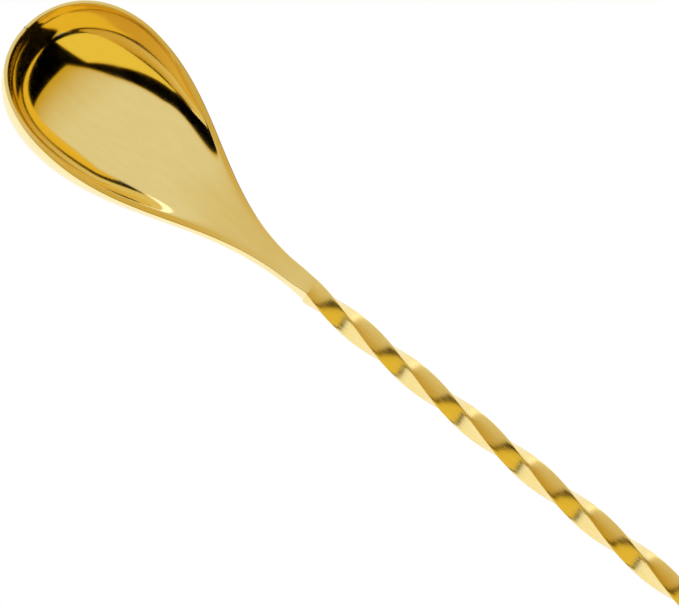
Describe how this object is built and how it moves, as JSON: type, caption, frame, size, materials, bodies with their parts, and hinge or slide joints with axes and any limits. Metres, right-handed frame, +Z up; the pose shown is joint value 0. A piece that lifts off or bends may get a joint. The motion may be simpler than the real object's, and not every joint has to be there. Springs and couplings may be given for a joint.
{
  "type": "bar spoon",
  "caption": "Long bar spoon: a teardrop bowl on a right-hand twisted square stem, with a drop-shaped weight and its collar at the far end.",
  "frame": {"origin": "on the plane that the spoon rests on, below the middle of its bounding box", "axes": "+Z up out of the bowl, +X along the stem from the bowl to the drop, +Y across the bowl"},
  "size_m": [0.2999, 0.0276, 0.0121],
  "materials": {
    "polished_gold_plate": "stainless steel polished to a mirror and plated in gold",
    "satin_gold_plate": "drawn and twisted stainless steel, lightly polished and plated in gold"
  },
  "bodies": {
    "root": {"bowl": "polished_gold_plate", "stem": "satin_gold_plate", "collar": "satin_gold_plate", "drop": "polished_gold_plate"}
  },
  "joints": []
}
